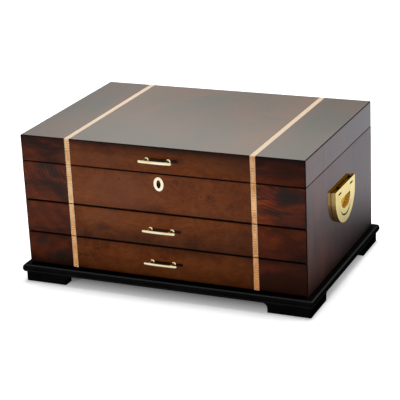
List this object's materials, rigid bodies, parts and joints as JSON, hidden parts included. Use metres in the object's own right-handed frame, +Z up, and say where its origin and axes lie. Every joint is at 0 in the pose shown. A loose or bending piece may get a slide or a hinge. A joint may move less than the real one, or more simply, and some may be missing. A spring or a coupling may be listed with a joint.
{
  "type": "jewelry chest",
  "caption": "Lacquered wooden jewelry chest: box lid with mirror over a divided compartment, full-width drawers, folding side handles and a moulded base on bracket feet.",
  "frame": {"origin": "on the ground under the middle of the whole chest", "axes": "+X along the width, to the right as seen from the front; +Y towards the back, so the drawers open along -Y; +Z up"},
  "size_m": [0.4038, 0.275, 0.1981],
  "materials": {
    "burl_veneer": "dark burl veneer under gloss lacquer",
    "ebonised_wood": "black gloss lacquer",
    "inlay_wood": "light chequered banding under gloss lacquer",
    "drawer_wood": "satin brown",
    "lined_wood": "covered with thin suede cloth",
    "ring_fabric": "soft suede cloth",
    "mirror_glass": "silvered",
    "gold_plated_brass": "polished gold plate"
  },
  "bodies": {
    "case": {"case_side_left": "burl_veneer", "case_side_right": "burl_veneer", "case_back": "burl_veneer", "case_front_panel": "burl_veneer", "case_bottom": "drawer_wood", "drawer_shelf": "drawer_wood", "compartment_floor": "lined_wood", "base_moulding_front": "ebonised_wood", "base_moulding_back": "ebonised_wood", "base_moulding_left": "ebonised_wood", "base_moulding_right": "ebonised_wood", "foot_front_left": "ebonised_wood", "foot_front_right": "ebonised_wood", "foot_back_left": "ebonised_wood", "foot_back_right": "ebonised_wood", "front_panel_inlay_left": "inlay_wood", "front_panel_inlay_right": "inlay_wood", "keyhole_plate": "gold_plated_brass", "lock_case": "gold_plated_brass", "hinge_case_leaf_left": "gold_plated_brass", "hinge_case_leaf_right": "gold_plated_brass", "hinge_pin_left": "gold_plated_brass", "hinge_pin_right": "gold_plated_brass", "handle_plate_left": "gold_plated_brass", "handle_plate_right": "gold_plated_brass", "handle_pin_left": "gold_plated_brass", "handle_pin_right": "gold_plated_brass", "compartment_dividers": "lined_wood", "ring_rolls": "ring_fabric"},
    "lid": {"lid_box": "burl_veneer", "lid_inlay_left": "inlay_wood", "lid_inlay_right": "inlay_wood", "mirror_frame": "burl_veneer", "lid_mirror": "mirror_glass", "lid_pull": "gold_plated_brass", "hinge_lid_leaf_left": "gold_plated_brass", "hinge_lid_leaf_right": "gold_plated_brass", "lock_strike": "gold_plated_brass"},
    "drawer_upper": {"drawer_upper_front": "burl_veneer", "drawer_upper_inlay_left": "inlay_wood", "drawer_upper_inlay_right": "inlay_wood", "drawer_upper_side_left": "drawer_wood", "drawer_upper_side_right": "drawer_wood", "drawer_upper_back": "drawer_wood", "drawer_upper_bottom": "lined_wood", "drawer_upper_dividers": "lined_wood", "drawer_upper_pull": "gold_plated_brass"},
    "drawer_lower": {"drawer_lower_front": "burl_veneer", "drawer_lower_inlay_left": "inlay_wood", "drawer_lower_inlay_right": "inlay_wood", "drawer_lower_side_left": "drawer_wood", "drawer_lower_side_right": "drawer_wood", "drawer_lower_back": "drawer_wood", "drawer_lower_bottom": "lined_wood", "drawer_lower_dividers": "lined_wood", "drawer_lower_pull": "gold_plated_brass"},
    "bail_left": {"handle_bail_left": "gold_plated_brass"},
    "bail_right": {"handle_bail_right": "gold_plated_brass"},
    "lock_bolt": {"lock_bolt": "gold_plated_brass"},
    "lock_cam": {"lock_cam": "gold_plated_brass"}
  },
  "joints": [
    {"name": "lid_hinge", "type": "hinge", "parent": "case", "child": "lid", "pos_m": [0, 0.1312, 0.16385], "axis": [-1, 0, 0], "range_deg": [0, 95]},
    {"name": "drawer_upper_slide", "type": "slide", "parent": "case", "child": "drawer_upper", "axis": [0, -1, 0], "range_m": [0, 0.16]},
    {"name": "drawer_lower_slide", "type": "slide", "parent": "case", "child": "drawer_lower", "axis": [0, -1, 0], "range_m": [0, 0.16]},
    {"name": "bail_left_turn", "type": "hinge", "parent": "case", "child": "bail_left", "pos_m": [-0.19875, -0.0137, 0.13045], "axis": [0, 1, 0], "range_deg": [0, 90]},
    {"name": "bail_right_turn", "type": "hinge", "parent": "case", "child": "bail_right", "pos_m": [0.19875, -0.0137, 0.13045], "axis": [0, -1, 0], "range_deg": [0, 90]},
    {"name": "lock_cam_turn", "type": "hinge", "parent": "case", "child": "lock_cam", "pos_m": [0, -0.1192, 0.1506], "axis": [0, 1, 0], "range_deg": [0, 90]},
    {"name": "lock_bolt_slide", "type": "slide", "parent": "case", "child": "lock_bolt", "axis": [1, 0, 0], "range_m": [0, 0.0045]}
  ],
  "couplings": [
    {"joint": "lock_cam_turn", "follows": "lock_bolt_slide", "rad_per_m": 347}
  ]
}
